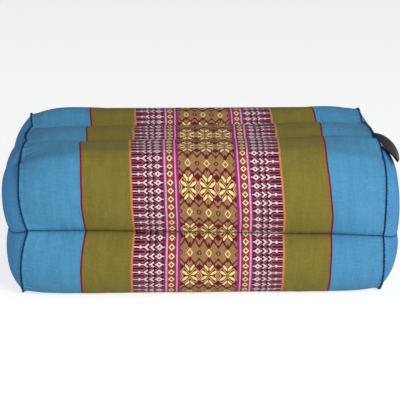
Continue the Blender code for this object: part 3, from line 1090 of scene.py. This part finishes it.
def plain_thread(name, colour):
    """Matt twisted cotton: a little darker and lighter along its length, and not smooth."""
    made, tree, shader = new_material(name)
    places = add(tree, "ShaderNodeTexCoord").outputs["Object"]
    twist = streaks(tree, places, (1500, 1500, 1500), 2)
    look = {
        "Base Color": mix(tree, twist, linear([0.6 * c for c in colour]), linear(colour)),
        "Normal": bump(tree, twist, 0.0002),
        "Roughness": 0.75,
        "Specular IOR Level": 0.2,
    }
    feed(tree, shader, look)
    return made


navy_thread = plain_thread("navy_thread", (0.05, 0.20, 0.34))
dark_thread = plain_thread("dark_thread", (0.15, 0.18, 0.20))
rims = []
for end in (-1, 1):
    rims.append((rim_cord(end), CORD_RADIUS, True))
    rims += [(stitch, WHIP_RADIUS, False) for stitch in whip_stitches(end)]
rim_stitches = new_thread("rim_stitches", rims, navy_thread)


# %% Sew the channels and the level seam of each end panel
def channel_line(seam, x):
    """Places along one channel seam, and the direction that faces out of the cushion."""
    turned = {"top": (0, 0, 1), "under": (0, 0, -1), "front": (0, -1, 0), "back": (0, 1, 0)}[seam["face"]]
    place = seam_place(seam, x)
    if seam["face"] in ("top", "under"):
        return wrap_point(x, place, np.full_like(x, turned[2] * HALF_SIDE)), turned
    return wrap_point(x, np.full_like(x, turned[1] * HALF_TOP), place), turned


def running_stitches(line, half):
    """Stitches along a seam from -half to half; line gives its places and its outward side."""
    step = RUNNING["stitch"] + RUNNING["gap"]
    count = int((2 * half - 2 * RUNNING["stop"]) / step)
    starts = np.linspace(RUNNING["stop"] - half, half - RUNNING["stop"] - RUNNING["stitch"], count)
    for start in starts:
        places, outward = line(start + np.linspace(0, RUNNING["stitch"], 5))
        lifts = np.array((-RUNNING["dip"], 0, 0.2 * RUNNING_RADIUS)) + RUNNING_RADIUS / 4
        lifts = (*lifts, *lifts[1::-1])
        yield [on_cloth(place, outward, lift) for place, lift in zip(places, lifts)]


def panel_line(end):
    level = float(seam_place(FRONT_SEAM, end * HALF_LENGTH))
    return lambda p: (panel_point(end, p, np.full_like(p, level)), (end, 0, 0))


sewn = []
for seam in SEAMS:
    half = HALF_LENGTH - TOP_STOP * (seam["face"] == "top")
    sewn += running_stitches(lambda x: channel_line(seam, x), half)
for end in (-1, 1):
    sewn += running_stitches(panel_line(end), HALF_TOP)
runs = [(stitch, RUNNING_RADIUS, False) for stitch in sewn]
seam_stitches = new_thread("seam_stitches", runs, dark_thread)

# %% [markdown]
# ## The ribbon tab
#
# A short length of black satin ribbon is folded in half and its two ends are caught in
# the seam of the right end panel. It is one strip here too: it runs out from the seam,
# turns over in a small round fold at its free end, and comes back underneath. The
# strip's middle line follows the solid tab, which droops and twists towards the panel.

# %% Fold the ribbon tab
TAB_EDGES = table(
    "root length lean rise_at_root rise_at_end",
    (-0.020, 0.0340, -0.010, -8, -88),
    (-0.060, 0.0210, -0.018, -20, -50),
)
TAB_START, TAB_REACH_IN = 0.0031, 0.0035
RIBBON_STEPS, RIBBON_PLEATS, RIBBON_THICKNESS = 18, 12, 0.00035
LAYER_GAP = ((0, 0.00030), (0.5, 0.00035), (0.85, 0.00075), (1.0, 0.00080))


def tab_edge(edge):
    """Places along one edge of the folded ribbon, from inside the seam to its fold."""
    root = wrap_point(np.array([HALF_LENGTH]), np.array([edge["root"]]), np.array([HALF_SIDE]))[0]
    step = edge["length"] / RIBBON_STEPS
    forward = edge["lean"] / RIBBON_STEPS
    level = math.sqrt(step**2 - forward**2)
    places = [root + (TAB_START, 0, 0)]
    for i in range(RIBBON_STEPS):
        rise = math.radians(blend(edge["rise_at_root"], edge["rise_at_end"], (i + 0.5) / RIBBON_STEPS))
        places.append(places[-1] + (level * math.cos(rise), forward, level * math.sin(rise)))
    start = math.radians(edge["rise_at_root"])
    inward = np.array((math.cos(start), 0, math.sin(start))) * TAB_REACH_IN
    return np.array([places[0] - inward, *places])


def fold_ribbon():
    """One strip: out along the upper layer, round the fold, back along the lower one."""
    back_edge, front_edge = (tab_edge(edge) for edge in TAB_EDGES)
    across = np.linspace(0, 1, RIBBON_PLEATS + 1)[None, :, None]
    middle = blend(back_edge[:, None], front_edge[:, None], across)
    along, aside = np.gradient(middle, axis=0), np.gradient(middle, axis=1)
    up = np.cross(aside, along)
    up /= np.linalg.norm(up, axis=2, keepdims=True)
    share = np.linspace(0, 1, len(middle))
    gap = np.interp(share, *zip(*LAYER_GAP))[:, None, None]
    out = along[-1:] / np.linalg.norm(along[-1:], axis=2, keepdims=True)
    turn = np.linspace(0, math.pi, 7)[1:-1, None, None]
    fold = middle[-1:] + gap[-1] * (up[-1:] * np.cos(turn) + out * np.sin(turn))
    return np.concatenate((middle + up * gap, fold, (middle - up * gap)[::-1]))


def make_ribbon(material):
    strip = fold_ribbon()
    form = bmesh.new()
    rows, columns = strip.shape[:2]
    bmesh.ops.create_grid(form, x_segments=columns - 1, y_segments=rows - 1, size=1)
    for v in form.verts:
        i, j = round((v.co.y + 1) / 2 * (rows - 1)), round((v.co.x + 1) / 2 * (columns - 1))
        v.co = strip[i, j]
    bmesh.ops.solidify(form, geom=form.faces[:], thickness=RIBBON_THICKNESS)
    piece = new_piece("ribbon_tab", form, material)
    print(f"ribbon: {len(piece.data.polygons)} faces")
    return piece


# %% Satin for the ribbon
satin, tree, shader = new_material("black_satin")
look = {"Base Color": (0.010, 0.009, 0.011, 1), "Roughness": 0.42, "Specular IOR Level": 0.3}
feed(tree, shader, look)
ribbon = make_ribbon(satin)

# %% [markdown]
# ## The studio
#
# A white floor, one large soft light in front and a little above, a weaker one at the
# left, and weak light all round. The front is then brighter than the top, and the channels
# shade into their seams. The floor glows a little, and more to the camera than to the
# cushion, so it is nearly white in the picture and lights the cloth only gently from
# below. The camera stands in front at a low angle with a long lens.

# %% Floor, light and camera
floor_form = bmesh.new()
bmesh.ops.create_grid(floor_form, x_segments=1, y_segments=1, size=4)
white, tree, shader = new_material("pale_floor")
to_camera = add(tree, "ShaderNodeLightPath").outputs["Is Camera Ray"]
glow = maths(tree, "MULTIPLY_ADD", to_camera, 0.28, 0.40)
feed(tree, shader, {"Base Color": (0.50, 0.50, 0.50, 1), "Roughness": 0.9})
feed(tree, shader, {"Emission Color": (1, 1, 1, 1), "Emission Strength": glow})
floor = new_piece("floor", floor_form, white)

scene = bpy.context.scene
scene.view_settings.view_transform = "Standard"
FOCAL = 1460 / 400
TARGET = Vector((0.0005, 0, 0.0690))


def stand(azimuth, elevation, distance):
    """A place at a distance from the target, and the turn that looks at the target."""
    az, el = math.radians(azimuth), math.radians(elevation)
    back = Vector((math.sin(az) * math.cos(el), -math.cos(az) * math.cos(el), math.sin(el)))
    return TARGET + distance * back, back.to_track_quat("Z", "Y").to_euler()


lens = bpy.data.cameras.new("camera")
lens.sensor_width = 36
lens.lens = lens.sensor_width * FOCAL
camera = put("camera", lens)
camera.location, camera.rotation_euler = stand(azimuth=-1.6, elevation=15.5, distance=1.38)
scene.camera = camera

world = bpy.data.worlds.new("world")
world.use_nodes = True
sky = world.node_tree.nodes["Background"]
feed(world.node_tree, sky, {"Color": (0.94, 0.97, 1, 1), "Strength": 0.30})
scene.world = world
LAMPS = (("key", 26, 22, 1.8, 0.8, 27.5), ("fill", -75, 22, 1.8, 1.2, 5.5))
for name, azimuth, elevation, distance, size, watts in LAMPS:
    lamp = bpy.data.lights.new(name, "AREA")
    lamp.size, lamp.energy = size, watts
    light = put(name, lamp)
    light.location, light.rotation_euler = stand(azimuth, elevation, distance)
print("camera at", [round(c, 3) for c in camera.location])

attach(cushion, "root")
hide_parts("cushion")
for stitches in (rim_stitches, seam_stitches):
    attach(stitches, "root")
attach(ribbon, "root")
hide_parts("tab")
